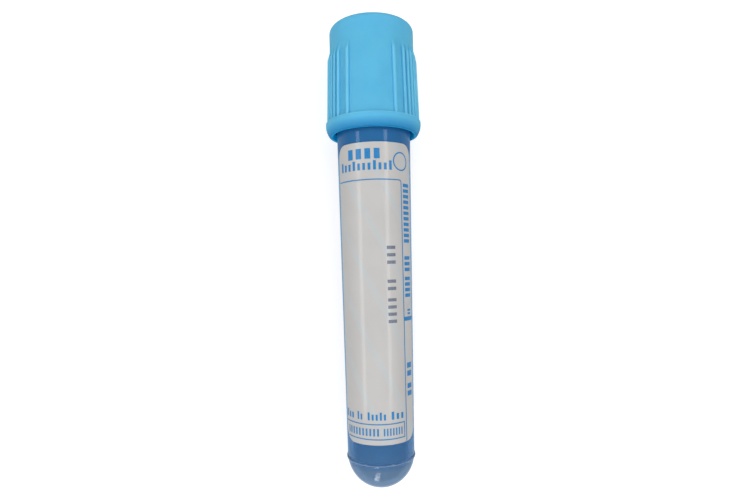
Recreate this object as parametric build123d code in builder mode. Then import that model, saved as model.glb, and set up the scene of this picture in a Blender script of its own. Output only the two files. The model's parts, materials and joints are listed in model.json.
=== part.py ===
from build123d import *
from math import asin, atan2, cos, degrees, hypot, radians, sin, sqrt
import os

# A round-bottom blood collection tube with its pull-off safety closure, lying on its side.
# Millimetres, +Z up. The closure points to +Y. The tube lies on two rings, the bead round the
# closure's skirt and the moulded ring above the round bottom, so its axis slopes up towards
# the closure. The origin is under the middle of the lying tube, on the surface it lies on.
# Heights run along the tube's own axis, from the outside of the round bottom to the closure.

# Tube: one clear moulding, open at the mouth
tube_length = 75.0
mouth_radius = 6.84         # outside, at the mouth
taper_drop = 0.84           # radius lost between the mouth and the round bottom
tube_wall = 1.0
mouth_round = 0.4           # rounding of both edges of the mouth
ring_drop = 0.42            # middle of the moulded ring below the start of the round bottom
ring_proud = 0.17           # how far the ring stands out from the wall
ring_round = 0.45           # radius of the ring's section

# Dried additive: a thin coat inside the round bottom
coat_thickness = 0.1
coat_gap = 0.02             # between coat and tube wall
coat_drop = 0.42            # top of the coat below the start of the round bottom

# Label: a sheet with round corners on the side of the tapered wall that faces up
label_bottom = 9.15
label_margin = 2.4          # bare wall between the label and the closure
label_span = 136.0          # degrees round the tube
label_corner = 2.1          # rounding of its corners
label_thickness = 0.1
label_gap = 0.02            # the glue line under it

# Stopper: a rubber plug with a wide head that sits on the mouth
plug_depth = 8.0
plug_clearance = 0.04       # to the tube's bore
plug_wall = 2.3             # rubber round the hollow of the plug
plug_hollow_depth = 4.5
stopper_round = 0.5         # rounding of the plug's end and of the head
seat_gap = 0.03             # between the head and the tube's mouth
boss_radius = 4.1
boss_height = 0.85          # above the head
puncture_radius = 2.6
puncture_floor_radius = 1.3
puncture_depth = 2.0

# Shield: a hollow moulded cover over the stopper, which holds it and clears the tube
crown_height = 8.1          # top of the shield above the tube's mouth
skirt_depth = 11.8          # bottom of the shield below the tube's mouth
skirt_clearance = 0.24      # bore of the shield to the tube's mouth
shield_wall = 0.64          # at the smooth round band
band_height = 4.5
crown_round = 1.0
skirt_flare = 0.38          # widening of the smooth panels from the band to the bead
head_clearance = 0.05       # stopper's head to the shield round it
well_wall = 1.6             # rim round the dished top
well_depth = 1.95
ledge_thickness = 1.4       # the ring that holds the stopper down
port_clearance = 0.1        # hole in the ledge to the stopper's boss
snap_clearance = 0.09       # the bead inside that holds the stopper up, to the tube
snap_height = 0.7
snap_root = 0.25            # how deep that bead is rooted in the wall

# Bead round the bottom of the skirt
bead_proud = 0.6            # its widest place, beyond the smooth panels
bead_crown = 3.0            # radius of its outward curve
bead_middle = 1.95          # its widest place, above the skirt's bottom
bead_height = 2.45
shoulder_round = 0.18       # both corners of the step above it
lip_round = 0.45            # bottom of the bead, and the edge of the dished top
lead_in = 0.9               # chamfer at the mouth of the skirt

# Ridges for the fingers, in groups between smooth panels
ridge_width = 0.62
ridge_round = 0.25
ridge_ramp = 1.7            # length of the slope at the upper end
ridge_top_proud = 0.5       # crest below the slope, beyond the band
ridge_bottom_proud = 0.42   # crest at the bead, beyond the panels
ridge_root = 0.3            # how deep the ridge is rooted in the wall
ridge_groups = 3
ridge_angles = (30, 45, 52.5, 60, 67.5, 75, 90)  # degrees from the middle of a smooth panel
shield_turn = -2            # degrees from the top to the middle of the nearest panel

# Heights and radii that follow from the sizes above
foot_radius = mouth_radius - taper_drop
ring_height = foot_radius - ring_drop
coat_height = foot_radius - coat_drop
bore_radius = foot_radius - tube_wall
taper = taper_drop / (tube_length - foot_radius)
crown_top = tube_length + crown_height
skirt_bottom = tube_length - skirt_depth
label_top = skirt_bottom - label_margin
bead_widest = skirt_bottom + bead_middle
bead_top = skirt_bottom + bead_height
step_height = crown_top - band_height
ledge_top = crown_top - well_depth
ledge_bottom = ledge_top - ledge_thickness
head_bottom = tube_length + seat_gap
head_top = ledge_bottom - head_clearance
shield_bore = mouth_radius + skirt_clearance
head_radius = shield_bore - head_clearance
snap_radius = mouth_radius + snap_clearance
port_radius = boss_radius + port_clearance
band_radius = shield_bore + shield_wall
well_radius = band_radius - well_wall
skirt_radius = band_radius + skirt_flare
ridge_top_radius = band_radius + ridge_top_proud
ridge_bottom_radius = skirt_radius + ridge_bottom_proud
bead_radius = skirt_radius + bead_proud
bead_centre_radius = bead_radius - bead_crown
ring_centre_radius = foot_radius + ring_proud - ring_round

# The slope of the axis puts the lowest points of the bead and of the ring at one level
rise = bead_widest - ring_height
spread = bead_centre_radius - ring_centre_radius
slope = atan2(spread, rise) + asin((bead_crown - ring_round) / hypot(rise, spread))
foot_z = ring_centre_radius * cos(slope) + ring_round - ring_height * sin(slope)
back_end = foot_radius * cos(slope) - foot_radius
crown_edge_radius = band_radius - crown_round
crown_edge_height = crown_top - crown_round
front_end = crown_edge_height * cos(slope) + crown_edge_radius * sin(slope) + crown_round
foot_y = -(back_end + front_end) / 2

foot = Vector(0, foot_y, foot_z)
along = Vector(0, cos(slope), sin(slope))
upward = Vector(0, -sin(slope), cos(slope))
tube_axis = Axis(foot, along)


def section(angle):
    """The plane through the tube's axis that holds its radius at this angle from the top."""
    outward = upward.rotate(tube_axis, angle)
    return Plane(origin=foot, x_dir=outward, z_dir=outward.cross(along))


def facing(angle):
    """The plane through the tube's axis that faces outwards at this angle from the top."""
    outward = upward.rotate(tube_axis, angle)
    return Plane(origin=foot, x_dir=along.cross(outward), z_dir=outward)


def wall_radius(height):
    """The outside radius of the tapered wall."""
    return foot_radius + taper * (height - foot_radius)


def corners(sketch, *points):
    """The sketch's corners that lie nearest to these points."""
    return ShapeList(sketch.vertices().sort_by_distance(point)[0] for point in points)


# Tube
with BuildPart() as tube:
    with BuildSketch(section(0)) as tube_section:
        with BuildLine():
            round_outside = CenterArc((0, foot_radius), foot_radius, -90, 90)
            mouth_outside = (mouth_radius, tube_length)
            mouth_inside = (mouth_radius - tube_wall, tube_length)
            Polyline(round_outside @ 1, mouth_outside, mouth_inside, (bore_radius, foot_radius))
            round_inside = CenterArc((0, foot_radius), bore_radius, -90, 90)
            Line(round_inside @ 0, round_outside @ 0)
        make_face()
        fillet(corners(tube_section, mouth_outside, mouth_inside), mouth_round)
        with Locations((ring_centre_radius, ring_height)):
            Circle(ring_round)
    revolve(axis=tube_axis)
tube.part.label = "tube"

# Dried additive
coat_outer = bore_radius - coat_gap
coat_inner = coat_outer - coat_thickness
with BuildPart() as additive_coat:
    with BuildSketch(section(0)):
        with BuildLine():
            outer_end = (sqrt(coat_outer**2 - coat_drop**2), coat_height)
            inner_end = (sqrt(coat_inner**2 - coat_drop**2), coat_height)
            outer_start = (0, foot_radius - coat_outer)
            inner_start = (0, foot_radius - coat_inner)
            RadiusArc(outer_start, outer_end, -coat_outer)
            Line(outer_end, inner_end)
            RadiusArc(inner_start, inner_end, -coat_inner)
            Line(inner_start, outer_start)
        make_face()
    revolve(axis=tube_axis)
additive_coat.part.label = "additive_coat"

# Label, turned wider than it is and then trimmed along both sides and round its corners
label_inner_bottom = wall_radius(label_bottom) + label_gap
label_inner_top = wall_radius(label_top) + label_gap
label_middle_radius = (label_inner_bottom + label_inner_top) / 2
corner_angle = degrees(asin(label_corner / label_middle_radius))
trim = 2.0
with BuildPart() as label:
    with BuildSketch(section(label_span / 2 + 6)):
        with BuildLine():
            Polyline(
                (label_inner_bottom, label_bottom),
                (label_inner_bottom + label_thickness, label_bottom),
                (label_inner_top + label_thickness, label_top),
                (label_inner_top, label_top),
                close=True,
            )
        make_face()
    revolve(axis=tube_axis, revolution_arc=-(label_span + 12))
    for side in (-1, 1):
        edge = side * label_corner
        with BuildSketch(facing(side * (label_span / 2 - corner_angle))):
            with BuildLine():
                top_start, top_end = (0, label_top), (edge, label_top - label_corner)
                bottom_start, bottom_end = (0, label_bottom), (edge, label_bottom + label_corner)
                TangentArc(top_start, top_end, tangent=(side, 0))
                Line(top_end, bottom_end)
                TangentArc(bottom_start, bottom_end, tangent=(side, 0))
                Polyline(
                    bottom_start,
                    (0, label_bottom - trim),
                    (side * mouth_radius, label_bottom - trim),
                    (side * mouth_radius, label_top + trim),
                    (0, label_top + trim),
                    top_start,
                )
            make_face()
        extrude(amount=2 * mouth_radius, mode=Mode.SUBTRACT)
label.part.label = "label"

# Stopper
plug_bottom = tube_length - plug_depth
plug_top_radius = mouth_radius - tube_wall - plug_clearance
plug_bottom_radius = wall_radius(plug_bottom) - tube_wall - plug_clearance
plug_hollow_radius = plug_bottom_radius - plug_wall
boss_top = head_top + boss_height
with BuildPart() as rubber_stopper:
    with BuildSketch(section(0)) as stopper_section:
        with BuildLine():
            plug_edge = (plug_bottom_radius, plug_bottom)
            head_edge = (head_radius, head_top)
            Polyline(
                (0, plug_bottom),
                plug_edge,
                (plug_top_radius, head_bottom),
                (head_radius, head_bottom),
                head_edge,
                (boss_radius, head_top),
                (boss_radius, boss_top),
                (0, boss_top),
                close=True,
            )
        make_face()
        fillet(corners(stopper_section, plug_edge, head_edge), stopper_round)
        with BuildLine():
            hollow_top = plug_bottom + plug_hollow_depth
            Polyline(
                (0, plug_bottom),
                (plug_hollow_radius, plug_bottom),
                (plug_hollow_radius, hollow_top - plug_hollow_radius),
            )
            CenterArc((0, hollow_top - plug_hollow_radius), plug_hollow_radius, 0, 90)
            Line((0, hollow_top), (0, plug_bottom))
        make_face(mode=Mode.SUBTRACT)
        with BuildLine():
            Polyline(
                (0, boss_top - puncture_depth),
                (puncture_floor_radius, boss_top - puncture_depth),
                (puncture_radius, boss_top),
                (0, boss_top),
                close=True,
            )
        make_face(mode=Mode.SUBTRACT)
    revolve(axis=tube_axis)
rubber_stopper.part.label = "rubber_stopper"

# One ridge, standing on the wall of the shield
ridge_foot = bead_widest
ridge_slope_end = step_height - ridge_ramp
ramp_rise = (ridge_top_radius - band_radius) / ridge_ramp
with BuildPart() as ridge:
    with BuildSketch(section(0)):
        with BuildLine():
            Polyline(
                (band_radius - ridge_root, step_height + ridge_root / ramp_rise),
                (ridge_top_radius, ridge_slope_end),
                (ridge_bottom_radius, ridge_foot),
                (skirt_radius - ridge_root, ridge_foot),
                close=True,
            )
        make_face()
    extrude(amount=ridge_width / 2, both=True)
    outward_faces = ridge.faces().filter_by(lambda face: face.normal_at().dot(upward) > cos(radians(45)))
    fillet(outward_faces.edges().filter_by(lambda edge: edge.length > ridge_ramp), ridge_round)

# Shield
with BuildPart() as cap_shield:
    with BuildSketch(section(0)) as shield_section:
        with BuildLine():
            bead_drop = sqrt(bead_crown**2 - bead_middle**2)
            bead_lift = sqrt(bead_crown**2 - (bead_top - bead_widest) ** 2)
            bead_low = (bead_centre_radius + bead_drop, skirt_bottom)
            bead_high = (bead_centre_radius + bead_lift, bead_top)
            crown_edge = (band_radius, crown_top)
            well_edge = (well_radius, crown_top)
            panel_foot = (skirt_radius, bead_top)
            RadiusArc(bead_low, bead_high, -bead_crown)
            Polyline(
                bead_high,
                panel_foot,
                (band_radius, step_height),
                crown_edge,
                well_edge,
                (well_radius, ledge_top),
                (port_radius, ledge_top),
                (port_radius, ledge_bottom),
                (shield_bore, ledge_bottom),
                (shield_bore, skirt_bottom + lead_in),
                (shield_bore + lead_in / 2, skirt_bottom),
                bead_low,
            )
        make_face()
        fillet(corners(shield_section, crown_edge), crown_round)
        fillet(corners(shield_section, well_edge, bead_low), lip_round)
        fillet(corners(shield_section, bead_high, panel_foot), shoulder_round)
        with BuildLine():
            snap_top = head_bottom - head_clearance
            Polyline(
                (shield_bore, snap_top),
                (snap_radius, snap_top - snap_height / 3),
                (snap_radius, snap_top - snap_height * 2 / 3),
                (shield_bore, snap_top - snap_height),
                (shield_bore + snap_root, snap_top - snap_height),
                (shield_bore + snap_root, snap_top),
                close=True,
            )
        make_face()
    revolve(axis=tube_axis)
    for group in range(ridge_groups):
        for angle in ridge_angles:
            turn = shield_turn + angle + group * 360 / ridge_groups
            add(ridge.part.rotate(tube_axis, turn))
cap_shield.part.label = "cap_shield"

os.makedirs("parts", exist_ok=True)
export_step(tube.part, "parts/tube.step")
export_step(additive_coat.part, "parts/additive_coat.step")
export_step(label.part, "parts/label.step")
export_step(rubber_stopper.part, "parts/rubber_stopper.step")
export_step(cap_shield.part, "parts/cap_shield.step")

print(f"slope of the axis {degrees(slope):.3f} degrees, foot at y {foot_y:.3f}, z {foot_z:.3f}")
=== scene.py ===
import json
import math
import bpy
from mathutils import Matrix, Vector


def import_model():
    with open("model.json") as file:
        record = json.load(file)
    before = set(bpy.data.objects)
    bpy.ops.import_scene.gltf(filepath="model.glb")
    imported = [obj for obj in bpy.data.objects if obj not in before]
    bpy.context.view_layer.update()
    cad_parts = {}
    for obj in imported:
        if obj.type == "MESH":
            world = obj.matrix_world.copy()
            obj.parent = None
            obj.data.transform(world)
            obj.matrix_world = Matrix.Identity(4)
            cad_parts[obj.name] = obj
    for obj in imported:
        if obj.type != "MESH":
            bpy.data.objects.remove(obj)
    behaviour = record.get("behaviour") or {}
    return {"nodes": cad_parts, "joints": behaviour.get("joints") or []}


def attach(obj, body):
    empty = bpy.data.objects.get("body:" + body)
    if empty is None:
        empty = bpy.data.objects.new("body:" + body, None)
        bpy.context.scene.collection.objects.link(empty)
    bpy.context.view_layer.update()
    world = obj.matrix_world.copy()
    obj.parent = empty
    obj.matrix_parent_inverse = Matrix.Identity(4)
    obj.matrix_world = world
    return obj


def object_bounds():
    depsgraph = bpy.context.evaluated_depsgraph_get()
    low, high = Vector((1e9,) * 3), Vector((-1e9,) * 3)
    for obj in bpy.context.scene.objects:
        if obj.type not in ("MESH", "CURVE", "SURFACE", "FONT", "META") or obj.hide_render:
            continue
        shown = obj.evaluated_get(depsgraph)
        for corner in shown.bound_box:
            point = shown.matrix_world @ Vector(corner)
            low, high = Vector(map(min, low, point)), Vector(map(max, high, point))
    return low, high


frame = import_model()
cad_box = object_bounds()

MM = 0.001
NEAR = 0.05 * MM             # points this close to a height count as standing at it
nodes = frame["nodes"]
scene = bpy.context.scene

# ---------------------------------------------------------------- the tube's own axis
# Heights run along the axis from the round bottom, angles run round it from the top of the
# lying tube towards +X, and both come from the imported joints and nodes.
pull, twist = frame["joints"]
along = Vector(pull["axis"]).normalized()
side = Vector((1, 0, 0))
upward = side.cross(along)
mouth = Vector(twist["pos_m"])


def reach(point):
    """Distance of a point along the axis, from the tube's mouth."""
    return (Vector(point) - mouth).dot(along)


foot = mouth + along * min(reach(v.co) for v in nodes["tube"].data.vertices)


def height_of(point):
    """Height of a point along the axis, from the tube's round bottom."""
    return (Vector(point) - foot).dot(along)


def radius_of(point):
    """Distance of a point from the axis."""
    from_foot = Vector(point) - foot
    return (from_foot - along * from_foot.dot(along)).length


def place(radius, angle, height):
    """The point at this radius, angle in degrees and height."""
    turn = math.radians(angle)
    return foot + along * height + (upward * math.cos(turn) + side * math.sin(turn)) * radius


def radii_near(node, height):
    """Smallest and largest radius that a node has at this height."""
    points = (v.co for v in nodes[node].data.vertices)
    radii = [radius_of(point) for point in points if abs(height_of(point) - height) < NEAR]
    return min(radii), max(radii)


def ends(node):
    """Lowest and highest height of a node."""
    heights = [height_of(v.co) for v in nodes[node].data.vertices]
    return min(heights), max(heights)


label_low, label_high = ends("label")
shield_low, shield_high = ends("cap_shield")
_, label_low_radius = radii_near("label", label_low)
_, label_high_radius = radii_near("label", label_high)
shield_lip_radius, _ = radii_near("cap_shield", shield_low)
below_label = [v.co for v in nodes["tube"].data.vertices if height_of(v.co) < label_low]
ring_height = height_of(max(below_label, key=radius_of))


def label_radius(height):
    """Outer radius of the label, which follows the tube's taper."""
    share = (height - label_low) / (label_high - label_low)
    return label_low_radius + share * (label_high_radius - label_low_radius)


# ---------------------------------------------------------------- materials
# The shield's smooth wall widens from the band at its top to the bead at its bottom
BEAD_TALL, BAND_TALL = 2.45 * MM, 4.5 * MM
SKIRT_RADIUS, BAND_RADIUS = 8.1 * MM, 7.72 * MM
# The label's bands slant down to the right: fall for a radian round it, and pitch along it
BAND_FALL, BAND_PITCH = 11.9 * MM, 11.0 * MM


def material(name, **values):
    """A material with one Principled shader, its sockets set by name, and its node tree."""
    mat = bpy.data.materials.new(name)
    mat.use_nodes = True
    shader = mat.node_tree.nodes["Principled BSDF"]
    for socket, value in values.items():
        shader.inputs[socket.replace("_", " ")].default_value = value
    return mat, mat.node_tree, shader


def add(tree, kind, **values):
    """A node of this kind, with its properties or its sockets set by name."""
    node = tree.nodes.new(kind)
    for name, value in values.items():
        if hasattr(node, name):
            setattr(node, name, value)
        else:
            node.inputs[name.replace("_", " ")].default_value = value
    return node


def join(tree, output, target):
    """Link an output to an input."""
    tree.links.new(output, target)


def noise(tree, scale, detail=3.0, roughness=0.5, stretch=(1, 1, 1)):
    """Noise over the object's own coordinates, with features about 1 / scale metres across."""
    where = add(tree, "ShaderNodeTexCoord")
    mapping = add(tree, "ShaderNodeMapping")
    mapping.inputs["Scale"].default_value = stretch
    texture = add(tree, "ShaderNodeTexNoise", Scale=scale, Detail=detail, Roughness=roughness)
    join(tree, where.outputs["Object"], mapping.inputs["Vector"])
    join(tree, mapping.outputs["Vector"], texture.inputs["Vector"])
    return texture.outputs["Fac"]


def maths(tree, operation, first, second=0):
    """A sum worked on one or two values, each a socket or a number."""
    node = add(tree, "ShaderNodeMath", operation=operation)
    for socket, value in zip(node.inputs, (first, second)):
        if isinstance(value, (int, float)):
            socket.default_value = value
        else:
            join(tree, value, socket)
    return node.outputs[0]


def axis_places(tree):
    """Radius, angle in radians and height of the shaded point, round the tube's axis."""
    where = add(tree, "ShaderNodeTexCoord")
    upright = add(tree, "ShaderNodeMapping", vector_type="TEXTURE")
    upright.inputs["Location"].default_value = foot
    upright.inputs["Rotation"].default_value = (math.atan2(along.z, along.y), 0, 0)
    parts = add(tree, "ShaderNodeSeparateXYZ")
    join(tree, where.outputs["Object"], upright.inputs["Vector"])
    join(tree, upright.outputs["Vector"], parts.inputs["Vector"])
    x, height, z = (parts.outputs[name] for name in "XYZ")
    squares = maths(tree, "ADD", maths(tree, "MULTIPLY", x, x), maths(tree, "MULTIPLY", z, z))
    return maths(tree, "POWER", squares, 0.5), maths(tree, "ARCTAN2", x, z), height


def ramp(tree, value, low, high, low_to=0.0, high_to=1.0):
    """The value, stretched from low..high to low_to..high_to and held there."""
    node = add(tree, "ShaderNodeMapRange", From_Min=low, From_Max=high, To_Min=low_to, To_Max=high_to)
    join(tree, value, node.inputs["Value"])
    return node.outputs["Result"]


def cloudy(tree, scale, first, second, low=0.3, high=0.7, detail=3.0):
    """A colour that drifts between two, in soft clouds."""
    return blend_colour(tree, ramp(tree, noise(tree, scale, detail), low, high), first, second)


def blend_colour(tree, factor, first, second):
    """A mix of two colours, each a socket or a plain colour."""
    node = add(tree, "ShaderNodeMix", data_type="RGBA")
    for socket, colour in zip((node.inputs["A"], node.inputs["B"]), (first, second)):
        if isinstance(colour, tuple):
            socket.default_value = (*colour, 1)
        else:
            join(tree, colour, socket)
    join(tree, factor, node.inputs["Factor"])
    return node.outputs["Result"]


def bump(tree, shader, value, distance, strength=1.0):
    """Let the value raise the surface by up to this distance."""
    node = add(tree, "ShaderNodeBump", Strength=strength, Distance=distance)
    join(tree, value, node.inputs["Height"])
    join(tree, node.outputs["Normal"], shader.inputs["Normal"])


def tube_plastic():
    """Clear blue plastic, milkier in the round bottom, pale along the moulded ring, with painted shade
    below the closure for its dim inside seen through the wall. Seen edge on, the wall is too thick to
    see through."""
    # The second blue here is painted shade for the strip under the closure, where its dim inside shows
    # through
    low_blue, strip_shade_blue = (0.085, 0.32, 0.63), (0.036, 0.21, 0.49)
    milk, ring_pale = (0.215, 0.352, 0.52), (0.42, 0.44, 0.56)
    clear_blue, density = (0.0, 0.33, 0.67, 1), 220.0
    mat, tree, shader = material("tube_plastic", IOR=1.3)
    _, _, height = axis_places(tree)

    # The wall's own blue, deeper towards the bottom of the label
    colour = cloudy(tree, 300, (0.17, 0.42, 0.69), (0.2, 0.46, 0.73))
    low_wall = ramp(tree, height, label_low + 1 * MM, label_low + 6 * MM, 1, 0)
    colour = blend_colour(tree, low_wall, colour, low_blue)

    # Milky in the round bottom, and less so from the ring up to the label
    milky = ramp(tree, height, ring_height - 1.2 * MM, ring_height - 0.2 * MM, 1, 0.45)
    fading = ramp(tree, height, ring_height, label_low + 3 * MM, 1, 0)
    milky = maths(tree, "MULTIPLY", milky, fading)
    colour = blend_colour(tree, milky, colour, milk)

    # Painted shade in the strip between the label and the closure, for the closure's dim inside seen
    # through the wall
    from_strip = maths(tree, "SUBTRACT", height, (label_high + shield_low) / 2)
    from_strip = maths(tree, "ABSOLUTE", from_strip)
    painted_closure_shade = ramp(tree, from_strip, 1.2 * MM, 4.5 * MM, 1, 0)
    colour = blend_colour(tree, painted_closure_shade, colour, strip_shade_blue)

    # Pale along the moulded ring
    from_ring = maths(tree, "ABSOLUTE", maths(tree, "SUBTRACT", height, ring_height))
    moulded = ramp(tree, from_ring, 0.05 * MM, 0.13 * MM, 0.55, 0)
    colour = blend_colour(tree, moulded, colour, ring_pale)
    join(tree, colour, shader.inputs["Base Color"])

    # Less of the light comes through where the wall is cloudy and in the painted shade below the
    # closure, and none of it edge on
    edge_on = ramp(tree, add(tree, "ShaderNodeLayerWeight").outputs["Facing"], 0.62, 0.82)
    opaque = maths(tree, "MAXIMUM", moulded, edge_on)
    for share, least, most in ((milky, 0.28, 0.42), (painted_closure_shade, 0, 0.6)):
        opaque = maths(tree, "MAXIMUM", opaque, ramp(tree, share, 0, 1, least, most))
    join(tree, maths(tree, "SUBTRACT", 1.0, opaque), shader.inputs["Transmission Weight"])
    join(tree, ramp(tree, edge_on, 0, 1, 0.3, 0.02), shader.inputs["Specular IOR Level"])
    join(tree, ramp(tree, noise(tree, 420), 0.35, 0.7, 0.05, 0.11), shader.inputs["Roughness"])
    bump(tree, shader, noise(tree, 160, stretch=(1, 0.15, 1)), 0.02 * MM, 0.15)
    absorbing = add(tree, "ShaderNodeVolumeAbsorption", Color=clear_blue, Density=density)
    join(tree, absorbing.outputs[0], tree.nodes["Material Output"].inputs["Volume"])
    return mat


def shield_plastic():
    """Opaque satin plastic, a little cloudy, with a painted highlight on its ridges, painted shade on
    the underside of the bead and a painted glow on the lip inside it, for light through the plastic."""
    # The crest, bead and lip colours are a painted highlight, painted shade and a painted glow
    crest_highlight_blue, bead_shade_blue, lip_glow_blue = (0.165, 0.54, 0.80), (0.0, 0.16, 0.42), (0.0, 0.5, 0.95)
    mat, tree, shader = material("shield_plastic", Specular_IOR_Level=0.07)
    shader.inputs["Subsurface Weight"].default_value = 0.5
    shader.inputs["Subsurface Scale"].default_value = 1.5 * MM
    shader.inputs["Subsurface Radius"].default_value = (0.7, 0.9, 1.0)
    radius, _, height = axis_places(tree)
    bead_top = shield_low + BEAD_TALL
    colour = cloudy(tree, 260, (0.106, 0.455, 0.7), (0.121, 0.483, 0.73))

    # Painted highlight on the crests of the ridges, which stand out from the smooth wall
    wall = ramp(tree, height, bead_top, shield_high - BAND_TALL, SKIRT_RADIUS, BAND_RADIUS)
    painted_crest_highlight = ramp(tree, maths(tree, "SUBTRACT", radius, wall), 0.25 * MM, 0.42 * MM, 0, 0.85)
    above_bead = ramp(tree, height, bead_top - 0.3 * MM, bead_top)
    colour = blend_colour(tree, maths(tree, "MULTIPLY", painted_crest_highlight, above_bead), colour, crest_highlight_blue)

    # Painted shade on the underside of the bead, darker towards its bottom, and a painted glow on the
    # lip round the tube, for light that comes through the plastic
    painted_bead_shade = ramp(tree, height, shield_low - 0.1 * MM, shield_low + 1.7 * MM, 0.9, 0)
    colour = blend_colour(tree, painted_bead_shade, colour, bead_shade_blue)
    # Painted glow on the lip, for light that comes through the plastic into the shade under the skirt
    painted_lip_glow = ramp(tree, radius, shield_lip_radius, shield_lip_radius + 0.35 * MM, 1, 0)
    near_rim = ramp(tree, height, shield_low + 0.9 * MM, shield_low + 1.3 * MM, 1, 0)
    colour = blend_colour(tree, maths(tree, "MULTIPLY", painted_lip_glow, near_rim), colour, lip_glow_blue)
    join(tree, colour, shader.inputs["Base Color"])
    join(tree, ramp(tree, noise(tree, 900), 0.3, 0.7, 0.46, 0.56), shader.inputs["Roughness"])
    bump(tree, shader, noise(tree, 5200, 4), 0.01 * MM, 0.5)
    return mat


def label_paper():
    """White glossy label stock with faint slanting bands of pale blue printed across it."""
    band_blue = (0.46, 0.54, 0.59)
    mat, tree, shader = material("label_paper", Specular_IOR_Level=0.25, Coat_Weight=0.25)
    shader.inputs["Coat Roughness"].default_value = 0.09
    _, angle, height = axis_places(tree)
    fall = maths(tree, "MULTIPLY", angle, BAND_FALL)
    pitches = maths(tree, "DIVIDE", maths(tree, "ADD", fall, height), BAND_PITCH)
    share = maths(tree, "FRACT", pitches)
    low_side, high_side = ramp(tree, share, 0.0, 0.03), ramp(tree, share, 0.2, 0.24, 1, 0)
    band = maths(tree, "MULTIPLY", low_side, high_side)
    mottle = ramp(tree, noise(tree, 900, 4), 0.3, 0.7, 0.2, 0.36)
    paper = cloudy(tree, 180, (0.5, 0.492, 0.482), (0.532, 0.525, 0.514))
    colour = blend_colour(tree, maths(tree, "MULTIPLY", band, mottle), paper, band_blue)
    join(tree, colour, shader.inputs["Base Color"])
    join(tree, ramp(tree, noise(tree, 700), 0.3, 0.7, 0.35, 0.5), shader.inputs["Roughness"])
    bump(tree, shader, noise(tree, 6000, 5, 0.7), 0.006 * MM, 0.6)
    return mat


def stopper_rubber():
    """Dull dark grey rubber with a paler bloom."""
    mat, tree, shader = material("stopper_rubber", Roughness=0.7, Specular_IOR_Level=0.3)
    colour = cloudy(tree, 500, (0.10, 0.105, 0.11), (0.15, 0.155, 0.16), low=0.4, detail=5)
    join(tree, colour, shader.inputs["Base Color"])
    bump(tree, shader, noise(tree, 4000, 4), 0.02 * MM, 0.5)
    return mat


def dried_additive():
    """A thin even bloom of dried spray, denser in small specks."""
    bloom = (0.62, 0.74, 0.88, 1)
    mat, tree, shader = material("dried_additive", Roughness=0.6, Base_Color=bloom)
    grain = noise(tree, 2600, 5, 0.65)
    join(tree, ramp(tree, grain, 0.35, 0.8, 0.12, 0.3), shader.inputs["Alpha"])
    bump(tree, shader, grain, 0.02 * MM, 0.5)
    return mat


def ink(name, full, thin):
    """Printed ink, in places a little thinner."""
    mat, tree, shader = material(name, Roughness=0.4, Specular_IOR_Level=0.35)
    join(tree, cloudy(tree, 3000, full, thin, low=0.35, high=0.65), shader.inputs["Base Color"])
    return mat


finishes = {
    "tube": tube_plastic(),
    "additive_coat": dried_additive(),
    "label": label_paper(),
    "rubber_stopper": stopper_rubber(),
    "cap_shield": shield_plastic(),
}
for node, mat in finishes.items():
    nodes[node].data.materials.clear()
    nodes[node].data.materials.append(mat)

# ---------------------------------------------------------------- print on the label
# Marks stand in for the lettering: every word is a row of small blocks, one for each letter.
INK_LOW, INK_HIGH = 0.004 * MM, 0.014 * MM
CELL = 0.3                   # mm; a wider patch is built of more than one step


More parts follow.
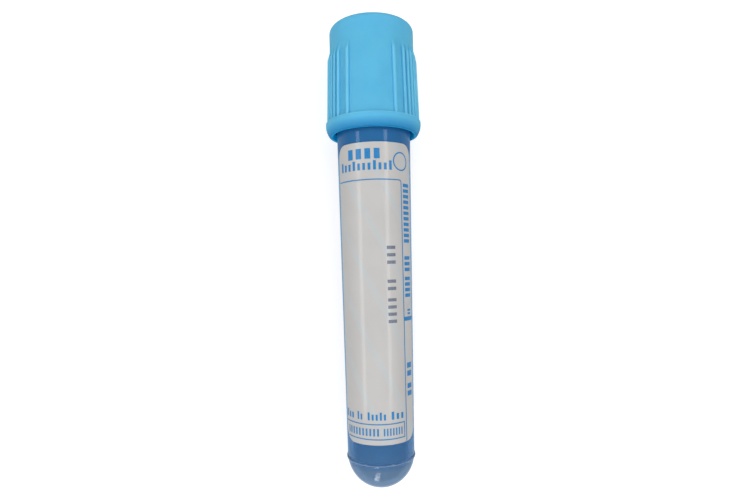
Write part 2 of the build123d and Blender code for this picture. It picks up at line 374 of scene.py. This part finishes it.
class Print:
    """Thin closed patches of ink that follow the label, gathered into one mesh.

    Places on the label are given in millimetres: round it from the top of the tube, and up it.
    """

    def __init__(self, name, mat):
        self.name, self.mat = name, mat
        self.points, self.faces = [], []

    def lay(self, x, height):
        """Add the two points of the ink, below and on top, at this place on the label."""
        radius = label_radius(height * MM)
        for lift in (INK_LOW, INK_HIGH):
            self.points.append(place(radius + lift, math.degrees(x * MM / radius), height * MM))

    def block(self, x, height, wide, tall):
        """An upright patch, placed by its middle."""
        across = max(1, math.ceil(wide / CELL))
        start = len(self.points)
        for level in (height - tall / 2, height + tall / 2):
            for step in range(across + 1):
                self.lay(x - wide / 2 + wide * step / across, level)

        def at(step, level, layer):
            return start + 2 * (level * (across + 1) + step) + layer

        for step in range(across):
            square = [(step, 0), (step + 1, 0), (step + 1, 1), (step, 1)]
            self.faces.append([at(c, r, 1) for c, r in square])
            self.faces.append([at(c, r, 0) for c, r in reversed(square)])
        rim = [(c, 0) for c in range(across + 1)] + [(c, 1) for c in range(across, -1, -1)]
        for (c0, r0), (c1, r1) in zip(rim, rim[1:] + rim[:1]):
            self.faces.append([at(c0, r0, 0), at(c1, r1, 0), at(c1, r1, 1), at(c0, r0, 1)])

    def stroke(self, route, width, closed=False):
        """A line of this width through points on the label."""
        route = [Vector(point) for point in route]
        count = len(route)
        start = len(self.points)
        for index, point in enumerate(route):
            before = route[index - 1] if closed or index else None
            after = route[(index + 1) % count] if closed or index < count - 1 else None
            steps = [(b - a).normalized() for a, b in ((before, point), (point, after)) if a and b]
            middle = sum(steps, Vector((0, 0))).normalized()
            across = Vector((-middle.y, middle.x)) * (width / 2) / max(0.3, middle.dot(steps[0]))
            for edge in (point + across, point - across):
                self.lay(edge.x, edge.y)
        ring = [start + 4 * index for index in range(count)]
        for a, b in zip(ring, ring[1:] + ring[:1] if closed else ring[1:]):
            for p, q in ((0, 2), (1, 0), (3, 1), (2, 3)):
                self.faces.append([a + p, a + q, b + q, b + p])
        if not closed:
            a, b = ring[0], ring[-1]
            self.faces.append([a, a + 1, a + 3, a + 2])
            self.faces.append([b, b + 2, b + 3, b + 1])

    def finish(self):
        """Build the patches as one piece that rides on the tube."""
        mesh = bpy.data.meshes.new(self.name)
        mesh.from_pydata(self.points, [], self.faces)
        mesh.materials.append(self.mat)
        piece = bpy.data.objects.new(self.name, mesh)
        scene.collection.objects.link(piece)
        for polygon in mesh.polygons:
            polygon.use_smooth = False
        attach(piece, "tube")
        return piece


blue = Print("print_blue", ink("ink_blue", (0.014, 0.19, 0.47), (0.022, 0.225, 0.52)))
pale = Print("print_light_blue", ink("ink_light_blue", (0.035, 0.205, 0.45), (0.048, 0.23, 0.49)))
grey = Print("print_grey", ink("ink_grey", (0.14, 0.16, 0.21), (0.19, 0.21, 0.27)))

TALL_LETTERS = (0, 3, 7)     # of every ten small letters, those that stand up above the rest


def row(print_, letters, first, last, height, tall, wide=0.5, rise=0.0):
    """A word round the tube, its blocks on one line, and some of them taller than the rest."""
    step = (last - first) / letters
    for slot in range(letters):
        extra = rise if slot % 10 in TALL_LETTERS else 0
        print_.block(first + step * (slot + 0.5), height + extra / 2, step * wide, tall + extra)


def column(print_, letters, first, last, x, wide, tall):
    """A word along the tube, read downwards."""
    step = (first - last) / letters
    for slot in range(letters):
        print_.block(x, first - step * (slot + 0.5), wide, step * tall)


def line(x0, y0, x1, y1):
    """Points along a straight line on the label, close enough to follow its curve."""
    count = math.ceil(abs(x1 - x0) / CELL) + math.ceil(abs(y1 - y0) / 2)
    return [(x0 + (x1 - x0) * i / count, y0 + (y1 - y0) * i / count) for i in range(count + 1)]


def arc(centre, radius, start, end):
    """Points along a circle's arc, its angles in degrees from the right, anticlockwise."""
    count = math.ceil(abs(end - start) / 12)
    turns = [math.radians(start + (end - start) * i / count) for i in range(count + 1)]
    return [(centre[0] + radius * math.cos(t), centre[1] + radius * math.sin(t)) for t in turns]


# The heading and the line below it
row(blue, 4, -5.25, 1.25, 58.8, 1.8, 0.62)
row(blue, 11, -7.05, 3.3, 56.6, 1.2, 0.52, 0.4)

# The lines at the bottom, the lower one in its box
for letters, first, last in ((3, -7.3, -5.0), (2, -4.4, -3.1), (5, -2.4, 1.1), (3, 1.7, 4.5)):
    row(blue, letters, first, last, 13.85, 1.0, 0.5, 0.35)
for letters, first, last in ((10, -6.85, -0.15), (7, 0.35, 4.15)):
    row(pale, letters, first, last, 11.3, 1.25, 0.5)

# Words beside the writing field, along the tube
for letters, first, last in ((11, 54.0, 43.3), (3, 41.3, 38.3), (4, 37.7, 33.8)):
    column(blue, letters, first, last, 6.3, 1.7, 0.62)
for first, last in ((22.8, 20.0), (19.2, 16.6)):
    column(blue, 2, first, last, 6.2, 1.35, 0.66)

# The date in the writing field
for letters, first, last in ((3, 43.3, 39.5), (2, 37.5, 35.0), (4, 34.3, 29.4)):
    column(grey, letters, first, last, 2.6, 1.6, 0.45)

# Rules: the writing field's top and side with a rounded corner, and the box at the bottom, which
# is open to the label's left edge
RULE, CORNER = 0.2, 0.45
FIELD_LEFT, FIELD_RIGHT, FIELD_TOP = -7.9, 5.0, 54.35
top_rule = line(FIELD_LEFT, FIELD_TOP, FIELD_RIGHT - CORNER, FIELD_TOP)
side_rule = line(FIELD_RIGHT, FIELD_TOP - CORNER, FIELD_RIGHT, label_low / MM + 0.05)
corner = arc((FIELD_RIGHT - CORNER, FIELD_TOP - CORNER), CORNER, 90, 0)
pale.stroke(top_rule[:-1] + corner + side_rule[1:], RULE)

BOX_RIGHT, BOX_BOTTOM, BOX_TOP = 4.5, 10.1, 12.65
BOX_LOW_END, BOX_HIGH_END = -6.85, -7.25
box = line(BOX_LOW_END, BOX_BOTTOM, BOX_RIGHT, BOX_BOTTOM)
box += line(BOX_RIGHT, BOX_TOP, BOX_HIGH_END, BOX_TOP)
pale.stroke(box, RULE)

# A plain ring beside the heading, and the fill line with its small mark
RING_CENTRE, RING_RADIUS, RING_LINE = (5.0, 57.6), 1.55, 0.24
blue.stroke(arc(RING_CENTRE, RING_RADIUS, 0, 348), RING_LINE, closed=True)
blue.block(6.27, 30.22, 2.54, 0.7)
column(pale, 2, 32.0, 30.8, 6.5, 1.0, 0.6)

for print_ in (blue, pale, grey):
    print_.finish()

# ---------------------------------------------------------------- floor, light and camera
bounds_low, bounds_high = cad_box
length = (bounds_high - bounds_low).y


def background_seen(tree):
    """1 for the rays that show the background: straight to it, or through clear plastic."""
    path = add(tree, "ShaderNodeLightPath")
    return maths(tree, "MAXIMUM", path.outputs["Is Camera Ray"], path.outputs["Is Transmission Ray"])


def floor():
    """A plain floor that keeps the tube's shadow near it and turns white further off."""
    half, near, far = length * 30, length * 1.5, length * 7
    dim, bright = 0.56, 0.85
    corners = [(-half, -half, 0), (half, -half, 0), (half, half, 0), (-half, half, 0)]
    mesh = bpy.data.meshes.new("floor")
    mesh.from_pydata(corners, [], [(0, 1, 2, 3)])
    piece = bpy.data.objects.new("floor", mesh)
    scene.collection.objects.link(piece)
    mat, tree, shader = material("floor", Roughness=0.9, Base_Color=(0.62, 0.62, 0.62, 1))
    shader.inputs["Specular IOR Level"].default_value = 0.0
    where = add(tree, "ShaderNodeTexCoord")
    distance = add(tree, "ShaderNodeVectorMath", operation="LENGTH")
    join(tree, where.outputs["Object"], distance.inputs[0])
    glow = ramp(tree, distance.outputs["Value"], near, far, dim, bright)
    shader.inputs["Emission Color"].default_value = (1, 1, 1, 1)
    join(tree, maths(tree, "MULTIPLY", background_seen(tree), glow), shader.inputs["Emission Strength"])
    mesh.materials.append(mat)


def world():
    """A dim even light that is seen as white."""
    scene.world = bpy.data.worlds.new("world")
    scene.world.use_nodes = True
    tree = scene.world.node_tree
    background = tree.nodes["Background"]
    background.inputs["Color"].default_value = (1, 1, 1, 1)
    lighting, seen = 0.36, 1
    strength = ramp(tree, background_seen(tree), 0, 1, lighting, seen)
    join(tree, strength, background.inputs["Strength"])


def lamp(name, direction, distance, wide, tall, power):
    """An area light that faces the middle of the tube from this direction."""
    data = bpy.data.lights.new(name, "AREA")
    data.shape = "RECTANGLE"
    data.size, data.size_y = wide, tall
    data.energy = power
    lamp_object = bpy.data.objects.new(name, data)
    scene.collection.objects.link(lamp_object)
    direction = Vector(direction).normalized()
    spot = (bounds_low + bounds_high) / 2 + direction * distance
    turn = direction.to_track_quat("Z", "Y").to_matrix().to_4x4()
    lamp_object.matrix_world = Matrix.Translation(spot) @ turn
    return lamp_object


def camera():
    """A close camera above the lying tube, turned so that the closure is at the top."""
    lens, distance, opposite = 24.27, 92.34 * MM, 40.0 * MM
    pitch, roll, aside = math.radians(-1.57), math.radians(1.38), 0.42 * MM
    data = bpy.data.cameras.new("camera")
    data.lens = lens
    data.sensor_width = 36
    data.clip_start = 1 * MM
    up = along * math.cos(pitch) - upward * math.sin(pitch)
    back = along * math.sin(pitch) + upward * math.cos(pitch)
    right = side * math.cos(roll) - up * math.sin(roll)
    up = side * math.sin(roll) + up * math.cos(roll)
    camera_object = bpy.data.objects.new("camera", data)
    scene.collection.objects.link(camera_object)
    spot = foot + along * opposite + upward * distance - side * aside
    turn = Matrix((right, up, back)).transposed().to_4x4()
    camera_object.matrix_world = Matrix.Translation(spot) @ turn
    scene.camera = camera_object


floor()
world()
camera()
# Two softboxes light the tube without showing in its gloss; two long strips draw the streaks
# along it, and a small one at the foot draws the highlight on the round bottom.
# Each has its direction, then its distance, width and height in metres, and its power in watts.
SOFTBOX, STRIP, SMALL_STRIP = (0.45, 0.35, 0.35), (0.35, 0.3, 0.07), (0.35, 0.05, 0.2)
for name, direction, sizes, power, in_gloss in (
    ("overhead", (0.09, 0.4, 1), SOFTBOX, 0.38, False),
    ("fill", (0.09, -1.0, 1), SOFTBOX, 0.41, False),
    ("left_strip", (-1.19, 0, 1), STRIP, 0.39, True),
    ("right_strip", (0.73, 0, 1), STRIP, 0.41, True),
    ("foot_light", (-0.8, -4.7, 1.15), SMALL_STRIP, 0.3, True),
):
    lamp(name, direction, *sizes, power).visible_glossy = in_gloss

scene.view_settings.view_transform = "Standard"
